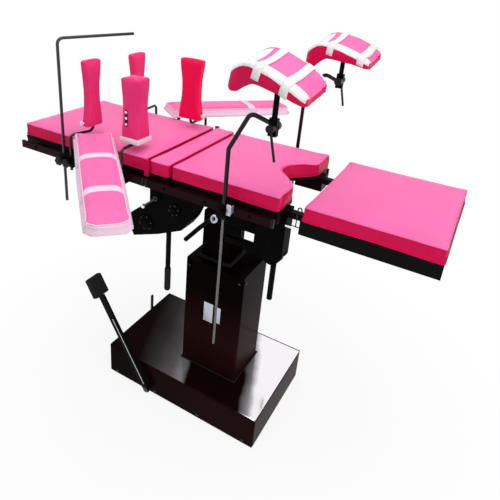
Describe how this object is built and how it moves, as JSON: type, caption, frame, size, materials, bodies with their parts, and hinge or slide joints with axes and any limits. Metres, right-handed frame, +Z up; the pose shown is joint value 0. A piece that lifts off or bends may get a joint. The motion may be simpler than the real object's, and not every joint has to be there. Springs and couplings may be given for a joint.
{
  "type": "obstetric delivery table",
  "caption": "Hydraulic obstetric delivery table with a column base, hinged padded sections, arm boards, body supports, an anaesthesia screen and knee crutches.",
  "frame": {"origin": "on the centre line of the column, at the underside of the base plate between its feet, 10 mm above the floor; z = 0 is the floor", "axes": "+X to the foot end, +Y to the side away from the foot pump, +Z up"},
  "size_m": [1.6898, 1.4907, 1.6169],
  "materials": {
    "maroon_enamel": "gloss",
    "black_enamel": "satin",
    "black_casting": "satin",
    "black_board": "satin",
    "dark_steel": "polished",
    "pink_vinyl": "satin",
    "crimson_vinyl": "satin",
    "black_rubber": "matte"
  },
  "bodies": {
    "base": {"base_plate": "black_enamel", "base_cover": "maroon_enamel", "pump_block": "black_enamel", "column_cover_lower": "maroon_enamel", "hydraulic_cylinder": "dark_steel"},
    "lift": {"ram_and_fork": "black_enamel", "column_cover_upper": "maroon_enamel"},
    "cross": {"tilt_cross": "dark_steel"},
    "top": {"pitch_bracket": "black_enamel", "seat_pad": "pink_vinyl", "seat_frame": "black_board", "seat_rail_near": "black_enamel", "seat_rail_far": "black_enamel", "gear_housing": "black_casting", "leg_socket": "black_casting", "crutch_clamp_near": "black_enamel", "crutch_clamp_far": "black_enamel"},
    "kidney": {"kidney_carrier": "black_board", "kidney_pad": "pink_vinyl"},
    "back": {"back_frame": "black_board", "back_pad": "pink_vinyl", "back_rail_near": "black_enamel", "back_rail_far": "black_enamel", "arm_clamp_near": "black_enamel", "arm_clamp_far": "black_enamel", "support_clamp_1": "black_enamel", "support_clamp_2": "black_enamel", "support_clamp_3": "black_enamel", "support_clamp_4": "black_enamel", "screen_clamp": "black_enamel"},
    "leg": {"leg_frame": "black_board", "leg_pad": "pink_vinyl"},
    "leg_lock": {"leg_lock_handle": "black_enamel"},
    "crank": {"crank_handle": "black_enamel"},
    "tilt_grip": {"tilt_lever": "dark_steel"},
    "arm_near": {"arm_board_near": "black_board", "arm_pad_near": "pink_vinyl"},
    "arm_far": {"arm_board_far": "black_board", "arm_pad_far": "pink_vinyl"},
    "support_1": {"support_rod_1": "dark_steel"},
    "support_head_1": {"support_pad_1": "crimson_vinyl"},
    "support_2": {"support_rod_2": "dark_steel"},
    "support_head_2": {"support_pad_2": "crimson_vinyl"},
    "support_3": {"support_rod_3": "dark_steel"},
    "support_head_3": {"support_pad_3": "crimson_vinyl"},
    "support_4": {"support_rod_4": "dark_steel"},
    "support_head_4": {"support_pad_4": "crimson_vinyl"},
    "screen": {"screen_rod": "dark_steel"},
    "crutch_near": {"crutch_rod_near": "dark_steel"},
    "crutch_head_near": {"crutch_stem_near": "black_enamel", "crutch_pad_near": "crimson_vinyl"},
    "crutch_lock_near": {"crutch_knob_near": "black_enamel"},
    "crutch_far": {"crutch_rod_far": "dark_steel"},
    "crutch_head_far": {"crutch_stem_far": "black_enamel", "crutch_pad_far": "crimson_vinyl"},
    "crutch_lock_far": {"crutch_knob_far": "black_enamel"},
    "pump": {"pump_lever": "black_enamel", "pump_pedal": "black_rubber"},
    "release": {"release_pedal": "dark_steel"}
  },
  "joints": [
    {"name": "column_lift", "type": "slide", "parent": "base", "child": "lift", "axis": [0, 0, 1], "range_m": [-0.18, 0.03]},
    {"name": "side_tilt", "type": "hinge", "parent": "lift", "child": "cross", "pos_m": [-0.026, 0, 0.985], "axis": [1, 0, 0], "range_deg": [-15, 8]},
    {"name": "pitch_tilt", "type": "hinge", "parent": "cross", "child": "top", "pos_m": [-0.026, 0, 0.985], "axis": [0, 1, 0], "range_deg": [-15, 15]},
    {"name": "kidney_lift", "type": "slide", "parent": "top", "child": "kidney", "axis": [0, 0, 1], "range_m": [0, 0.04]},
    {"name": "back_raise", "type": "hinge", "parent": "top", "child": "back", "pos_m": [-0.2335, 0, 1.146], "axis": [0, 1, 0], "range_deg": [0, 45]},
    {"name": "leg_pull", "type": "slide", "parent": "top", "child": "leg", "axis": [1, 0, 0], "range_m": [-0.036, 0.06]},
    {"name": "leg_lock_swing", "type": "hinge", "parent": "top", "child": "leg_lock", "pos_m": [0.268, -0.17, 0.895], "axis": [0, 1, 0], "range_deg": [-75, 0]},
    {"name": "crank_swing", "type": "hinge", "parent": "top", "child": "crank", "pos_m": [-0.172, -0.19, 0.89], "axis": [0, 1, 0], "range_deg": [-25, 25]},
    {"name": "tilt_grip_turn", "type": "hinge", "parent": "top", "child": "tilt_grip", "pos_m": [-0.198, -0.246, 1.004], "axis": [0, 1, 0], "range_deg": [-25, 25]},
    {"name": "arm_near_swing", "type": "hinge", "parent": "back", "child": "arm_near", "pos_m": [-0.46, -0.2845, 1.068], "axis": [0, 0, 1], "range_deg": [-46, 2]},
    {"name": "arm_far_swing", "type": "hinge", "parent": "back", "child": "arm_far", "pos_m": [-0.46, 0.2845, 1.068], "axis": [0, 0, 1], "range_deg": [-14, 36]},
    {"name": "support_1_height", "type": "slide", "parent": "back", "child": "support_1", "axis": [0, 0, 1], "range_m": [0, 0.045]},
    {"name": "support_1_turn", "type": "hinge", "parent": "support_1", "child": "support_head_1", "pos_m": [-0.558, -0.186, 1.22], "axis": [0, 0, 1], "range_deg": [-30, 30]},
    {"name": "support_2_height", "type": "slide", "parent": "back", "child": "support_2", "axis": [0, 0, 1], "range_m": [0, 0.045]},
    {"name": "support_2_turn", "type": "hinge", "parent": "support_2", "child": "support_head_2", "pos_m": [-0.578, 0.122, 1.22], "axis": [0, 0, 1], "range_deg": [-30, 30]},
    {"name": "support_3_height", "type": "slide", "parent": "back", "child": "support_3", "axis": [0, 0, 1], "range_m": [0, 0.045]},
    {"name": "support_3_turn", "type": "hinge", "parent": "support_3", "child": "support_head_3", "pos_m": [-0.336, -0.192, 1.22], "axis": [0, 0, 1], "range_deg": [-30, 30]},
    {"name": "support_4_height", "type": "slide", "parent": "back", "child": "support_4", "axis": [0, 0, 1], "range_m": [0, 0.045]},
    {"name": "support_4_turn", "type": "hinge", "parent": "support_4", "child": "support_head_4", "pos_m": [-0.308, 0.148, 1.22], "axis": [0, 0, 1], "range_deg": [-30, 30]},
    {"name": "screen_swing", "type": "hinge", "parent": "back", "child": "screen", "pos_m": [-0.626, -0.2845, 1.068], "axis": [0, 0, 1], "range_deg": [-90, 90]},
    {"name": "crutch_near_swing", "type": "hinge", "parent": "top", "child": "crutch_near", "pos_m": [0.112, -0.2845, 1.068], "axis": [0, 0, 1], "range_deg": [-60, 20]},
    {"name": "crutch_near_tip", "type": "hinge", "parent": "crutch_near", "child": "crutch_head_near", "pos_m": [0.262, -0.2845, 1.398], "axis": [0, 1, 0], "range_deg": [-20, 35]},
    {"name": "crutch_near_lock_turn", "type": "hinge", "parent": "crutch_near", "child": "crutch_lock_near", "pos_m": [0.262, -0.2845, 1.398], "axis": [0, 1, 0], "range_deg": [-60, 60]},
    {"name": "crutch_far_swing", "type": "hinge", "parent": "top", "child": "crutch_far", "pos_m": [0.137, 0.2845, 1.068], "axis": [0, 0, 1], "range_deg": [-20, 60]},
    {"name": "crutch_far_tip", "type": "hinge", "parent": "crutch_far", "child": "crutch_head_far", "pos_m": [0.262, 0.2845, 1.432], "axis": [0, 1, 0], "range_deg": [-20, 35]},
    {"name": "crutch_far_lock_turn", "type": "hinge", "parent": "crutch_far", "child": "crutch_lock_far", "pos_m": [0.262, 0.2845, 1.432], "axis": [0, 1, 0], "range_deg": [-60, 60]},
    {"name": "pump_stroke", "type": "hinge", "parent": "base", "child": "pump", "pos_m": [-0.22, -0.262, 0.045], "axis": [0, 1, 0], "range_deg": [-30, 0], "stiffness_Nm_per_rad": 9, "springref_deg": 34.38},
    {"name": "release_press", "type": "hinge", "parent": "base", "child": "release", "pos_m": [-0.425, 0.12, 0.125], "axis": [0, 1, 0], "range_deg": [-12, 0], "stiffness_Nm_per_rad": 0.7, "springref_deg": 14.32}
  ]
}
